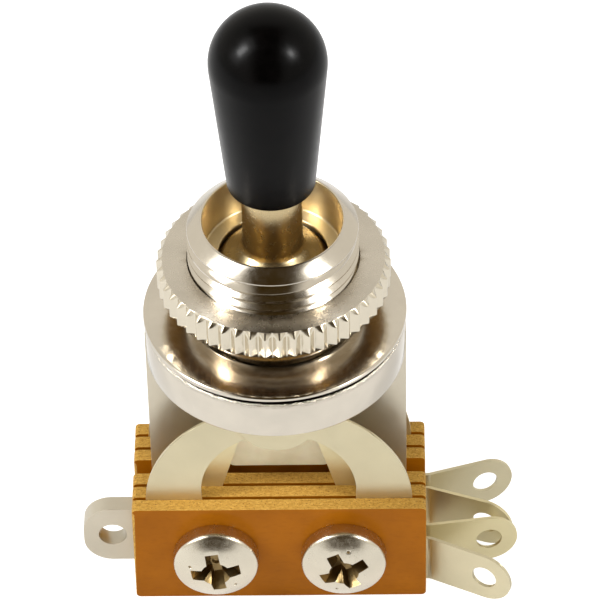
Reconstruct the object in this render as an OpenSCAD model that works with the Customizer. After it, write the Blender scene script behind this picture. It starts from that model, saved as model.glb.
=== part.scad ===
// Three-position panel toggle switch with a stacked-leaf contact assembly.
// The shoulder of the bushing, where the panel side begins, is the origin.
// +Z runs up the lever, X runs along the contact boards, Y is the way the lever swings.
// All sizes are in millimetres.

/* [Bushing] */
// Radius of the threaded barrel over its crests
barrel_r = 6.0; // [5.6:0.1:7]
// Height of the barrel above the flange
barrel_h = 9.1; // [7.5:0.1:12]
// Radius of the open bore at the top of the barrel
mouth_r = 4.9; // [4.5:0.05:5.2]
// Depth of the open bore, down to the lip over the ball
mouth_depth = 3.2; // [2.5:0.1:4]
// Radius of the hole in the lip that holds the ball down
lip_r = 3.85; // [3.4:0.05:4]
// Radius of the flange
flange_r = 9.2; // [8.5:0.1:11]
// Thickness of the flange
flange_t = 3.1; // [2:0.1:4]

/* [Panel nut and washer] */
// Radius of the round nut over its knurl
nut_r = 8.2; // [7.6:0.1:10]
// Thickness of the round nut
nut_t = 2.4; // [1.8:0.05:3]
// Height of the underside of the round nut above the flange
nut_lift = 3.2; // [1:0.05:4.5]
// Number of grooves in the knurl
knurl_n = 50; // [36:1:60]
// Depth of each groove in the knurl
knurl_depth = 0.42; // [0.2:0.02:0.6]
// How far the dress washer stands out past the flange
washer_lap = 0.1; // [0:0.05:1]
// Thickness of the dress washer
washer_t = 0.85; // [0.4:0.05:1.2]

/* [Lever] */
// Radius of the lever shaft
shaft_r = 2.1; // [1.6:0.05:2.3]
// Radius of the ball that the lever turns on
ball_r = 4.6; // [4.4:0.05:4.65]
// Height of the ball's centre above the flange
pivot_z = 2.9; // [2.6:0.05:3.1]
// Radius of the cross pin through the ball
pin_r = 0.6; // [0.4:0.05:0.8]
// Radius of the stem below the ball
stem_r = 1.2; // [0.9:0.05:1.3]
// Angle that the lever swings to each side, in degrees
swing = 10; // [4:0.5:10]

/* [Knob] */
// Radius of the knob's round end
knob_r = 4.05; // [3.6:0.05:5]
// Radius of the knob at its foot
knob_foot_r = 3.1; // [2.7:0.05:3.4]
// Height of the knob's foot above the flange
knob_z = 12.4; // [11.8:0.1:15]
// Length from the knob's foot to the centre of its round end
knob_len = 10.8; // [9:0.1:14]

/* [Contact stack] */
// Half the width of the insulating boards
board_hw = 10.65; // [10:0.05:12]
// Height of the insulating boards
board_h = 9.05; // [8.4:0.05:11]
// Thickness of one insulating board
board_t = 1.1; // [0.8:0.05:1.4]
// Height from the flange's underside down to the top of the boards
stack_drop = 12.1; // [11.6:0.1:16]
// Thickness of the contact leaves
leaf_t = 0.25; // [0.2:0.01:0.4]
// Outer radius of the arched leaves
arch_r = 9.65; // [8.6:0.05:9.8]
// Radius of the arch's opening
arch_in_r = 5.6; // [5:0.05:6]
// Radius of the round pad at the crown of the arch
pad_r = 2.8; // [2.4:0.05:3]

/* [Frame plate] */
// Half the width of the frame plate
frame_hw = 9.25; // [9.15:0.05:10]
// Thickness of the frame plate
frame_t = 1.35; // [1.25:0.05:1.6]
// Half the width of the window between the legs
window_hw = 4.6; // [4.5:0.05:5]

/* [Solder lugs] */
// Length of the contact lugs beyond the boards, to the centre of the eyelet
lug_len = 4.7; // [3.5:0.05:6]
// Half the height of the contact lugs
lug_r = 2.1; // [1.6:0.05:2.3]
// Radius of the eyelets in the contact lugs
eyelet_r = 0.95; // [0.6:0.05:1.1]
// Reach of the frame's earth lug beyond the boards
earth_len = 3.9; // [3:0.1:5]
// Radius of the eyelet in the earth lug
earth_eyelet_r = 1.03; // [0.7:0.01:1.2]

/* [Screws] */
// Half the distance between the two clamp screws
screw_x = 4.65; // [4:0.05:5]
// Radius of the screw thread
screw_r = 1.5; // [1.25:0.05:1.6]
// Radius of the screw head
head_r = 3.1; // [2.5:0.05:3.4]
// Height of the screw head
head_h = 2.2; // [1.6:0.05:2.4]
// Width across the flats of the hexagon nuts
hex_af = 5.5; // [5:0.1:6]
// Thickness of the hexagon nuts
hex_t = 2.4; // [1.8:0.1:3]

/* [Hidden] */
$fn = 64;
fit = 0.05;              // running clearance of parts that turn or slide on each other
ball_gap = 0.1;          // clearance between the ball and its socket
edge = 0.25;             // broken edge on turned parts
nut_edge = 0.4;          // chamfer of the round nut, top and bottom
rim_drop = 0.75;         // height of the cone at the top of the barrel
rim_land = 0.15;         // flat ring left between that cone and the open bore

// heights and radii
washer_r = flange_r + washer_lap;
washer_edge = 0.35 * washer_t;
flange_bottom = -flange_t;
stack_top = flange_bottom - stack_drop;
stack_bottom = stack_top - board_h;
mouth_z = barrel_h - mouth_depth;
socket_r = ball_r + ball_gap;
screw_z = stack_top - board_h / 2;
lug_z = stack_top - 0.707 * board_h;

// distances of the layers from the middle of the frame plate
board_pitch = board_t + leaf_t;
inner_leaf_y = frame_t / 2 + board_t;
outer_leaf_y = inner_leaf_y + board_pitch;
stack_y = outer_leaf_y + leaf_t + board_t;

// sleeves and the holes round them
sleeve_r = screw_r + 0.45;
sleeve_hole_r = sleeve_r + fit;
leaf_hole_r = sleeve_r + 0.3;
screw_hole_r = screw_r + 0.08;

// arched leaves: the arch is centred just below the top of the boards, its opening above
arch_z = -0.4;
arch_in_z = 0.95;
pad_z = (arch_r + arch_z + arch_in_r + arch_in_z) / 2 - 0.12;
leaf_foot = 0.65;        // how far the leaf's plate stays below the top of the boards

// forked leaves: the slot between the horns narrows upwards
horn_h = 6.0;
slot_foot_hw = 4.1;
slot_taper = 0.278;
horn_out = 6.3;
contact_x = 4.9;
contact_z = 5.1;
contact_r = 0.7;

// actuator: a blade that widens downwards between the horns
blade_gap = 0.22;
blade_t = 1.2;
blade_bottom = stack_top + 0.6;
hub_r = stem_r + 0.6;
hub_top = flange_bottom + 0.6;
stem_grip = 2.6;         // length of the stem inside the actuator
stem_foot = hub_top - stem_grip;
blade_top = stem_foot - 0.6;

// legs of the frame and the notches of the flange that hold them
tab_h = 2.1;             // length of the tabs in their notches
tab_top = flange_bottom + tab_h;
tab_w = 1.0;
earth_h = 5.2;
window_foot = 1.5;
bend_gap = 0.3;          // straight metal between the boards and the bend of a lug

// angle that each contact lug is turned at its bend, in degrees
front_outer_deg = -26;
front_inner_deg = 8;
rear_inner_deg = -20;
rear_outer_deg = 17.5;

// clamp screws: how far behind the seat of the head its dome is centred, and the cross recess
head_dome = 3.1;
recess_span = 3.5;
recess_w = 0.85;
recess_depth = 1.2;

// ---- helpers -------------------------------------------------------------

// A flat sheet drawn in X and Z, from y to y + t
module sheet(y, t) {
    translate([0, y + t, 0]) rotate([90, 0, 0]) linear_extrude(t) children();
}

// A rod along Y
module rod_y(r, y0, y1, x, z) {
    translate([x, y1, z]) rotate([90, 0, 0]) cylinder(r = r, h = y1 - y0);
}

// A turned disc with both edges broken
module turned(r, z0, z1, e = edge) {
    rotate_extrude()
        polygon([[0, z0], [r - e, z0], [r, z0 + e], [r, z1 - e], [r - e, z1], [0, z1]]);
}

// A rectangle with rounded corners, from its two corners
module rounded_box_2d(x0, z0, x1, z1, r) {
    union() {
        translate([x0 + r, z0]) square([x1 - x0 - 2 * r, z1 - z0]);
        translate([x0, z0 + r]) square([x1 - x0, z1 - z0 - 2 * r]);
        for (x = [x0 + r, x1 - r], z = [z0 + r, z1 - r]) translate([x, z]) circle(r = r);
    }
}

// The two screw positions, as holes in a flat sheet
module screw_holes_2d(r) {
    for (side = [-1, 1]) translate([side * screw_x, screw_z]) circle(r = r);
}

// ---- turned parts --------------------------------------------------------

module bushing() color("gainsboro") difference() {
    union() {
        turned(flange_r, flange_bottom, 0);
        translate([0, 0, flange_bottom / 2])
            cylinder(r = barrel_r, h = barrel_h - rim_drop - flange_bottom / 2);
        translate([0, 0, barrel_h - rim_drop])
            cylinder(r1 = barrel_r, r2 = mouth_r + rim_land, h = rim_drop);
    }
    // open mouth, lip and ball socket
    translate([0, 0, mouth_z]) cylinder(r = mouth_r, h = barrel_h);
    translate([0, 0, pivot_z]) cylinder(r = lip_r, h = barrel_h);
    translate([0, 0, pivot_z]) sphere(r = socket_r);
    translate([0, 0, flange_bottom - 1]) cylinder(r = socket_r, h = pivot_z - flange_bottom + 1);
    // cross pin
    translate([-barrel_r - 1, 0, pivot_z]) rotate([0, 90, 0])
        cylinder(r = pin_r, h = 2 * barrel_r + 2);
    // notches for the legs of the frame
    for (side = [-1, 1])
        translate([side * (frame_hw - tab_w / 2), 0, tab_top - flange_t / 2 + fit])
            cube([tab_w + 2 * fit, frame_t + 2 * fit, flange_t], center = true);
}

module round_nut() color("silver")
    translate([0, 0, nut_lift]) difference() {
        intersection() {
            linear_extrude(nut_t) difference() {
                circle(r = nut_r);
                for (i = [0 : knurl_n - 1]) rotate(i * 360 / knurl_n)
                    polygon([
                        [nut_r - knurl_depth, 0],
                        [nut_r + knurl_depth, -2.2 * knurl_depth],
                        [nut_r + knurl_depth, 2.2 * knurl_depth]
                    ]);
            }
            turned(nut_r, 0, nut_t, nut_edge);
        }
        translate([0, 0, -1]) cylinder(r = barrel_r + fit, h = nut_t + 2);
    }

module dress_washer() color("lightgray") difference() {
    turned(washer_r, 0, washer_t, washer_edge);
    translate([0, 0, -1]) cylinder(r = barrel_r + 0.15, h = washer_t + 2);
}

module pivot_pin() color("dimgray")
    translate([-barrel_r + 0.5, 0, pivot_z]) rotate([0, 90, 0])
        cylinder(r = pin_r, h = 2 * (barrel_r - 0.5));

// ---- lever ---------------------------------------------------------------

module lever() color("darkkhaki") difference() {
    union() {
        // shaft up into the knob
        translate([0, 0, pivot_z]) cylinder(r = shaft_r, h = knob_z + 0.7 * knob_len - pivot_z);
        // ball, cut flat underneath
        intersection() {
            translate([0, 0, pivot_z]) sphere(r = ball_r);
            translate([0, 0, pivot_z - 0.6 * ball_r]) cylinder(r = ball_r + 1, h = 2 * ball_r);
        }
        // stem down into the actuator
        translate([0, 0, stem_foot]) cylinder(r = stem_r, h = pivot_z - stem_foot);
    }
    translate([-ball_r - 1, 0, pivot_z]) rotate([0, 90, 0])
        cylinder(r = pin_r + fit, h = 2 * ball_r + 2);
}

module knob() color("black") {
    reach = norm([knob_foot_r, knob_len]);
    tangent = atan(knob_foot_r / knob_len) + acos(knob_r / reach);
    flare_r = knob_r * sin(tangent);
    flare_z = knob_len - knob_r * cos(tangent);
    translate([0, 0, knob_z]) difference() {
        union() {
            translate([0, 0, knob_len]) sphere(r = knob_r);
            translate([0, 0, edge]) cylinder(r1 = knob_foot_r, r2 = flare_r, h = flare_z - edge);
            cylinder(r1 = knob_foot_r - edge, r2 = knob_foot_r, h = edge);
        }
        translate([0, 0, -1]) cylinder(r = shaft_r, h = 0.7 * knob_len + 1);
    }
}

// Half the width of the slot between the horns at a height above the boards
function slot_hw(h) = slot_foot_hw - slot_taper * h;

module actuator() color("ivory") difference() {
    union() {
        translate([0, 0, blade_top]) cylinder(r = hub_r, h = hub_top - blade_top);
        sheet(-blade_t / 2, blade_t) polygon([
            for (side = [-1, 1]) let (
                low = slot_hw(blade_bottom - stack_top) - blade_gap,
                high = slot_hw(blade_top + 0.4 - stack_top) - blade_gap
            ) each (side < 0
                ? [[-high, blade_top + 0.4], [-low, blade_bottom]]
                : [[low, blade_bottom], [high, blade_top + 0.4]])
        ]);
    }
    translate([0, 0, stem_foot]) cylinder(r = stem_r, h = stem_grip + 1);
}

// ---- frame plate ---------------------------------------------------------

module frame_plate() color("whitesmoke") sheet(-frame_t / 2, frame_t) difference() {
    union() {
        // legs and the bar clamped between the boards
        translate([-frame_hw, stack_bottom])
            square([2 * frame_hw, flange_bottom - stack_bottom]);
        // tabs in the notches of the flange
        for (side = [-1, 1])
            translate([side * (frame_hw - tab_w / 2) - tab_w / 2, flange_bottom - 1])
                square([tab_w, tab_top - flange_bottom + 1]);
        // earth lug
        rounded_box_2d(-board_hw - earth_len, lug_z - earth_h / 2,
                       0, lug_z + earth_h / 2, 0.4 * earth_h);
    }
    // window between the legs, open at the top
    rounded_box_2d(-window_hw, stack_top - window_foot, window_hw, 1, 0.8);
    translate([-board_hw - earth_len + 0.41 * earth_h, lug_z]) circle(r = earth_eyelet_r);
    screw_holes_2d(leaf_hole_r);
}

// ---- insulating boards ---------------------------------------------------

module board(y, hole_r) sheet(y, board_t) difference() {
    rounded_box_2d(-board_hw, stack_bottom, board_hw, stack_top, 0.35);
    screw_holes_2d(hole_r);
}

module board_front() color("peru") board(-stack_y, screw_hole_r);
module board_front_mid() color("peru") board(-outer_leaf_y, sleeve_hole_r);
module board_front_inner() color("peru") board(-inner_leaf_y, sleeve_hole_r);
module board_rear_inner() color("peru") board(frame_t / 2, sleeve_hole_r);
module board_rear_mid() color("peru") board(inner_leaf_y + leaf_t, sleeve_hole_r);
module board_rear() color("peru") board(outer_leaf_y + leaf_t, screw_hole_r);

// ---- contact leaves ------------------------------------------------------

// Part of a leaf that is clamped between two boards
module leaf_plate_2d() {
    translate([-arch_r, stack_bottom + leaf_foot])
        square([2 * arch_r, board_h - 2 * leaf_foot]);
    translate([0, lug_z - lug_r]) square([board_hw + bend_gap, 2 * lug_r]);
}

// Arch above the boards with its round pad at the crown
module arch_2d() translate([0, stack_top]) {
    difference() {
        translate([0, arch_z]) circle(r = arch_r, $fn = 96);
        translate([0, arch_in_z]) circle(r = arch_in_r, $fn = 96);
        translate([-2 * arch_r, -2 * arch_r - leaf_foot]) square([4 * arch_r, 2 * arch_r]);
        translate([-arch_in_r + 0.05, -arch_r])
            square([2 * arch_in_r - 0.1, arch_r + arch_in_z]);
    }
    translate([0, pad_z]) intersection() {
        circle(r = pad_r);
        translate([-pad_r, -pad_r]) square([2 * pad_r, 1.35 * pad_r]);
    }
    for (side = [-1, 1])
        translate([side * (arch_r + arch_in_r) / 2 - (arch_r - arch_in_r) / 2, -leaf_foot - 0.3])
            square([arch_r - arch_in_r, leaf_foot + 0.3 + arch_z]);
}

// Two horns that stand up beside the actuator
module horns_2d() translate([0, stack_top])
    for (side = [-1, 1]) scale([side, 1]) polygon([
        [slot_hw(0), 0], [slot_hw(horn_h), horn_h],
        [horn_out - 1, horn_h], [horn_out, horn_h - 1],
        [horn_out, -leaf_foot - 0.3], [slot_foot_hw, -leaf_foot - 0.3]
    ]);

// Lug that turns away from the boards at its bend
module lug(mid_y, turn) {
    translate([board_hw + bend_gap, mid_y, lug_z]) {
        rotate([0, 0, turn]) translate([0, leaf_t / 2, 0]) rotate([90, 0, 0])
            linear_extrude(leaf_t) difference() {
                union() {
                    translate([0, -lug_r]) square([lug_len - bend_gap, 2 * lug_r]);
                    translate([lug_len - bend_gap, 0]) circle(r = lug_r);
                }
                translate([lug_len - bend_gap, 0]) circle(r = eyelet_r);
            }
        translate([0, 0, -lug_r]) cylinder(r = leaf_t / 2, h = 2 * lug_r, $fn = 32);
    }
}

module leaf(y, turn) {
    sheet(y, leaf_t) difference() {
        union() {
            leaf_plate_2d();
            children();
        }
        screw_holes_2d(leaf_hole_r);
    }
    lug(y + leaf_t / 2, turn);
}

module leaf_front_outer() color("lightgoldenrodyellow")
    leaf(-outer_leaf_y - leaf_t, front_outer_deg) arch_2d();
module leaf_front_inner() color("khaki")
    leaf(-inner_leaf_y - leaf_t, front_inner_deg) horns_2d();
module leaf_rear_inner() color("khaki")
    leaf(inner_leaf_y, rear_inner_deg) horns_2d();
module leaf_rear_outer() color("lightgoldenrodyellow")
    leaf(outer_leaf_y, rear_outer_deg) arch_2d();

// Silver contacts that close each forked leaf against its arched leaf
module contacts(y) for (side = [-1, 1])
    rod_y(contact_r, y, y + board_t, side * contact_x, stack_top + contact_z);

module contacts_front() color("silver") contacts(-outer_leaf_y);
module contacts_rear() color("silver") contacts(inner_leaf_y + leaf_t);

// ---- clamp screws --------------------------------------------------------

module screw(side) color("gainsboro") translate([side * screw_x, -stack_y, screw_z]) {
    rod_y(screw_r, -0.1, 2 * stack_y + hex_t + 0.6, 0, 0);
    difference() {
        // pan head: a disc rounded over by a large sphere
        intersection() {
            rod_y(head_r, -head_h, 0, 0, 0);
            translate([0, head_dome, 0]) sphere(r = head_h + head_dome);
        }
        for (turn = [0, 90]) rotate([0, turn + 6, 0])
            translate([0, -head_h, 0]) cube([recess_span, 2 * recess_depth, recess_w], center = true);
    }
}

module screw_left() screw(-1);
module screw_right() screw(1);

module sleeve(side) color("burlywood") difference() {
    rod_y(sleeve_r, -outer_leaf_y - leaf_t, outer_leaf_y + leaf_t, side * screw_x, screw_z);
    rod_y(screw_r + fit, -stack_y, stack_y, side * screw_x, screw_z);
}

module sleeve_left() sleeve(-1);
module sleeve_right() sleeve(1);

module hex_nut(side) color("silver") difference() {
    translate([side * screw_x, stack_y + hex_t, screw_z]) rotate([90, 0, 0])
        cylinder(r = hex_af / 2 / cos(30), h = hex_t, $fn = 6);
    rod_y(screw_r, stack_y - 1, stack_y + hex_t + 1, side * screw_x, screw_z);
}

module hex_nut_left() hex_nut(-1);
module hex_nut_right() hex_nut(1);

// ---- what is drawn -------------------------------------------------------

bushing();
round_nut();
dress_washer();
frame_plate();
pivot_pin();
lever();
knob();
actuator();
board_front();
board_front_mid();
board_front_inner();
board_rear_inner();
board_rear_mid();
board_rear();
leaf_front_outer();
leaf_front_inner();
leaf_rear_inner();
leaf_rear_outer();
contacts_front();
contacts_rear();
screw_left();
screw_right();
sleeve_left();
sleeve_right();
hex_nut_left();
hex_nut_right();
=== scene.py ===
# %% [markdown]
# # A panel toggle switch
# The object is an open three-position toggle switch. A threaded bushing clamps it in
# a panel, a lever with a black knob swings in a ball joint, and below the panel a
# steel frame plate carries a sandwich of brown boards and springy contact leaves.
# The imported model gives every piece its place. This script dresses those pieces:
# it models their worn edges, threads, knurl and bends, and gives each its finish.

# %% Load the frame
from math import atan2, cos, pi, radians, sin, sqrt, tan

import bmesh
import bpy
from mathutils import Matrix, Vector


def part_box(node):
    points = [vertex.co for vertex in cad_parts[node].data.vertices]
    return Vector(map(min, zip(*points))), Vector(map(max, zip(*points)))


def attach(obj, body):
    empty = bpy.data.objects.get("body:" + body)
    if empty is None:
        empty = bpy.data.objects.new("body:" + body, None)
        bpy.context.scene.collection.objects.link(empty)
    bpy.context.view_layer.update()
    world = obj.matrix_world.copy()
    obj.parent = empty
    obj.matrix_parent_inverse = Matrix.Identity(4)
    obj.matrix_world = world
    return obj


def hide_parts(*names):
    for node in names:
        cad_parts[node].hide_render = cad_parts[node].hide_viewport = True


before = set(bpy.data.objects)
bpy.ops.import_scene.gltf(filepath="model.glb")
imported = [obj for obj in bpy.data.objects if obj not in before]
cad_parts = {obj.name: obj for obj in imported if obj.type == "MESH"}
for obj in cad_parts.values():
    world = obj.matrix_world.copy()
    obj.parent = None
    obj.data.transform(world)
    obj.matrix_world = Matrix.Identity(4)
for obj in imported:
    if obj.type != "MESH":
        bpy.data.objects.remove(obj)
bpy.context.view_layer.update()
MM = 0.001

# %% [markdown]
# All modelling below is in millimetres, which are easy to read, and each piece is
# scaled to metres as it is finished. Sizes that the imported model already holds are
# read from its boxes, so that a new piece always fits its neighbours.

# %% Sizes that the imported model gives


def corners_mm(node):
    """Lowest and highest corner of a node, in millimetres."""
    low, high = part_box(node)
    return low / MM, high / MM


bushing_low, bushing_high = corners_mm("bushing")
flange_r, flange_bottom, barrel_top = bushing_high.x, bushing_low.z, bushing_high.z
nut_low, nut_high = corners_mm("round_nut")
washer_high = corners_mm("dress_washer")[1]
board_low, board_high = corners_mm("board_front")
frame_low, frame_high = corners_mm("frame_plate")
lever_low, lever_high = corners_mm("lever")
knob_low, knob_high = corners_mm("knob")
stack_top, stack_bottom = board_high.z, board_low.z
stack_front = board_low.y
print("stack", round(stack_bottom, 2), "to", round(stack_top, 2))

# %% [markdown]
# The first helper draws an outline and rounds each corner with its own radius. It
# makes one face and bevels its corner points, which is what a designer does with a
# fillet in a sketch. The outline is then spun into a turned piece or pushed out
# into a sheet.

# %% Outline with rounded corners


def outline(corners, steps=3):
    """A face in the XZ plane from (x, z) or (x, z, corner radius) rows."""
    bm = bmesh.new()
    points = [bm.verts.new((c[0], 0, c[1])) for c in corners]
    bm.faces.new(points)
    for point, corner in zip(points, corners):
        if len(corner) > 2:
            bmesh.ops.bevel(bm, geom=[point], offset=corner[2], offset_type="OFFSET",
                            segments=steps, profile=0.5, affect="VERTICES", material=-1)
    return bm


def turned(corners, turns=96, steps=3):
    """A turned solid: the outline is half its section, and Z is its axis."""
    bm = outline(corners, steps)
    bmesh.ops.delete(bm, geom=bm.faces[:], context="FACES_ONLY")
    on_axis = [e for e in bm.edges if max(abs(v.co.x) for v in e.verts) < 1e-6]
    bmesh.ops.delete(bm, geom=on_axis, context="EDGES")
    bmesh.ops.spin(bm, geom=bm.verts[:] + bm.edges[:], cent=(0, 0, 0), axis=(0, 0, 1),
                   angle=2 * pi, steps=turns, use_merge=True)
    bmesh.ops.remove_doubles(bm, verts=bm.verts, dist=1e-4)
    bmesh.ops.recalc_face_normals(bm, faces=bm.faces)
    return bm


# %% [markdown]
# Simple solids come straight from the create operators. A boolean modifier joins or
# cuts them, as a punch cuts a sheet, and its result comes back as an editable mesh.

# %% Blocks, rods, and cutting


def block(low, high):
    """A box from its lowest to its highest corner."""
    bm = bmesh.new()
    low, high = Vector(low), Vector(high)
    bmesh.ops.create_cube(bm, size=1)
    bmesh.ops.scale(bm, vec=high - low, verts=bm.verts)
    bmesh.ops.translate(bm, vec=(low + high) / 2, verts=bm.verts)
    return bm


def rod(radius, start, end, end_radius=None, sides=64):
    """A straight rod or cone between two points."""
    start, end = Vector(start), Vector(end)
    bm = bmesh.new()
    turn = (end - start).to_track_quat("Z", "Y").to_matrix().to_4x4()
    bmesh.ops.create_cone(bm, cap_ends=True, segments=sides, radius1=radius,
                          radius2=radius if end_radius is None else end_radius,
                          depth=(end - start).length,
                          matrix=Matrix.Translation((start + end) / 2) @ turn)
    return bm


def placed(bm, *moves):
    """The same mesh, moved by each matrix in turn."""
    for move in moves:
        bmesh.ops.transform(bm, matrix=move, verts=bm.verts)
    return bm


def holder(bm, name):
    """A passing object that carries a mesh through a modifier."""
    mesh = bpy.data.meshes.new(name)
    bm.to_mesh(mesh)
    bm.free()
    obj = bpy.data.objects.new(name, mesh)
    bpy.context.scene.collection.objects.link(obj)
    return obj


def combined(base, others, operation):
    """base joined with, cut by or kept inside the other solids."""
    work = holder(base, "work")
    tools = [holder(other, "tool") for other in others]
    for tool in tools:
        boolean = work.modifiers.new("combine", "BOOLEAN")
        boolean.operation, boolean.object, boolean.solver = operation, tool, "EXACT"
    bpy.context.view_layer.update()
    result = bmesh.new()
    result.from_object(work, bpy.context.evaluated_depsgraph_get())
    for obj in [work, *tools]:
        bpy.data.objects.remove(obj)
    return result


def merged(*meshes):
    """Several meshes in one."""
    whole = bmesh.new()
    for bm in meshes:
        mesh = bpy.data.meshes.new("part")
        bm.to_mesh(mesh)
        whole.from_mesh(mesh)
        bpy.data.meshes.remove(mesh)
        bm.free()
    return whole


def sheet(corners, y, thickness, steps=4):
    """A flat sheet from its outline, standing in XZ from y to y + thickness."""
    bm = outline(corners, steps)
    pushed = bmesh.ops.extrude_face_region(bm, geom=bm.faces[:])["geom"]
    bmesh.ops.translate(bm, vec=(0, thickness, 0),
                        verts=[g for g in pushed if isinstance(g, bmesh.types.BMVert)])
    bmesh.ops.translate(bm, vec=(0, y, 0), verts=bm.verts)
    bmesh.ops.recalc_face_normals(bm, faces=bm.faces)
    return bm


# %% [markdown]
# Every piece ends the same way. Its doubles are merged, its faces turned outwards and
# its mesh scaled to metres. Real edges are never razor sharp, so a Bevel modifier
# breaks those that bend by more than its limit, and weighted normals keep the flat
# faces flat beside them.

# %% Finish a piece


def finish_piece(name, bm, materials, body, slot, replaces=(), bevel=0.0, steps=2, limit=35):
    """Puts the mesh in the scene as a piece that rides on a body."""
    bmesh.ops.remove_doubles(bm, verts=bm.verts, dist=1e-4)
    bmesh.ops.recalc_face_normals(bm, faces=bm.faces)
    bmesh.ops.scale(bm, vec=(MM, MM, MM), verts=bm.verts)
    mesh = bpy.data.meshes.new(name)
    bm.to_mesh(mesh)
    bm.free()
    for material in materials:
        mesh.materials.append(material)
    mesh.shade_smooth()
    piece = bpy.data.objects.new(name, mesh)
    bpy.context.scene.collection.objects.link(piece)
    if bevel:
        broken = piece.modifiers.new("broken_edges", "BEVEL")
        broken.width, broken.segments = bevel * MM, steps
        broken.limit_method, broken.angle_limit = "ANGLE", radians(limit)
        even = piece.modifiers.new("flat_faces", "WEIGHTED_NORMAL")
        even.mode, even.keep_sharp = "FACE_AREA", False
    else:
        mesh.set_sharp_from_angle(angle=radians(limit))
    if replaces:
        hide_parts(*replaces)
    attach(piece, body)
    print(f"{name}: {len(mesh.polygons)} faces")


# %% [markdown]
# A finish is a Principled shader whose colour, roughness and bump vary over the
# surface. The helpers below set the plain numbers on the shader and give short ways
# to wire noise into it. Patterns read Object coordinates, so they have a true size
# and stay on the piece when the lever swings.

# %% Kit for finishes


class Wiring:
    """Short ways to add nodes to a tree."""

    def __init__(self, tree):
        self.tree = tree

    def node(self, kind, links=None, **settings):
        """A node with its settings, and its inputs linked or filled by name or number."""
        made = self.tree.nodes.new(kind)
        for key, value in settings.items():
            setattr(made, key, value)
        for key, value in (links or {}).items():
            if isinstance(value, bpy.types.NodeSocket):
                self.tree.links.new(value, made.inputs[key])
            else:
                made.inputs[key].default_value = value
        return made

    def between(self, value, low, high, start=0.3, end=0.7, how="LINEAR"):
        """Maps a value from start..end to low..high."""
        return self.node("ShaderNodeMapRange", {
            "Value": value, "From Min": start, "From Max": end,
            "To Min": low, "To Max": high}, interpolation_type=how).outputs["Result"]

    def blend(self, amount, first, second, how="MIX"):
        """A colour between two, by amount."""
        return self.node("ShaderNodeMix", {0: amount, 6: first, 7: second},
                         data_type="RGBA", blend_type=how).outputs[2]

    def sums(self, how, *values):
        """A Math node."""
        return self.node("ShaderNodeMath", dict(enumerate(values)), operation=how
                         ).outputs["Value"]


class Finish(Wiring):
    """A material with its shader and short ways to vary it."""

    def __init__(self, name, **numbers):
        self.material = bpy.data.materials.new(name)
        self.material.use_nodes = True
        super().__init__(self.material.node_tree)
        self.shader = self.tree.nodes["Principled BSDF"]
        for socket, value in numbers.items():
            self.shader.inputs[socket.replace("_", " ")].default_value = value
        self.place = self.tree.nodes.new("ShaderNodeTexCoord").outputs["Object"]

    def to(self, socket, output):
        """Feeds an output into the shader."""
        self.tree.links.new(output, self.shader.inputs[socket])

    def stretched(self, x=1.0, y=1.0, z=1.0):
        """The place on the piece, with each direction scaled."""
        return self.node("ShaderNodeMapping", {"Vector": self.place, "Scale": (x, y, z)}
                         ).outputs["Vector"]

    def noise(self, size_mm, place=None, detail=3.0, rough=0.55):
        """Noise whose blotches are about size_mm wide."""
        return self.node("ShaderNodeTexNoise", {
            "Vector": self.place if place is None else place, "Scale": 1 / (size_mm * MM),
            "Detail": detail, "Roughness": rough}).outputs["Fac"]

    def now(self, socket):
        """What feeds a socket of the shader at present."""
        return self.shader.inputs[socket].links[0].from_socket

    def height(self):
        """The height on the piece."""
        return self.node("ShaderNodeSeparateXYZ", {0: self.place}).outputs["Z"]

    def off_axis(self):
        """The place with its height left out, and its distance from the Z axis."""
        flat = self.node("ShaderNodeVectorMath", {0: self.place, 1: (1, 1, 0)},
                         operation="MULTIPLY").outputs["Vector"]
        return flat, self.node("ShaderNodeVectorMath", {0: flat}, operation="LENGTH"
                               ).outputs["Value"]

    def bump(self, height, depth_mm, strength=1.0, under=None):
        """A bump of a real depth, on top of another one."""
        links = {"Height": height, "Distance": depth_mm * MM, "Strength": strength}
        if under is not None:
            links["Normal"] = under
        return self.node("ShaderNodeBump", links).outputs["Normal"]


def rgb(red, green, blue):
    """A shader colour from the usual 0 to 255 numbers."""
    def plain(value):
        value /= 255
        return value / 12.92 if value <= 0.04045 else ((value + 0.055) / 1.055) ** 2.4
    return plain(red), plain(green), plain(blue), 1.0


# %% [markdown]
# Most metal here is nickel plate: a warm grey mirror. Its gloss is broken by faint
# clouding, fine wiping scratches and a pebble as small as orange peel. Turned faces
# also keep rings from the lathe tool. Rings spread a reflection across themselves,
# so the shader gets an anisotropic gloss whose tangent points away from the axis on
# a face and along the axis in a bore. The flange's upper edge keeps a fine burr.

# %% Plated metal


def plated(name, colour, rough=(0.12, 0.22), cloud_mm=3.0, peel_mm=0.35, peel_depth=0.003,
           scratch=0.0015, shade=0.9, metallic=1.0):
    """Plated sheet or turned metal."""
    metal = Finish(name, Metallic=metallic)
    cloud = metal.noise(cloud_mm)
    darker = tuple(c * shade for c in colour[:3]) + (1.0,)
    metal.to("Base Color", metal.blend(metal.between(cloud, 0.0, 1.0), darker, colour))
    fine = metal.noise(0.5, detail=6.0, rough=0.7)
    metal.to("Roughness", metal.between(fine, rough[0], rough[1]))
    peel = metal.bump(metal.noise(peel_mm, detail=2.0), peel_depth)
    wiped = metal.noise(0.12, metal.stretched(0.08, 1.0, 1.0), detail=2.0)
    metal.to("Normal", metal.bump(wiped, scratch, under=peel))
    return metal


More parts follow.
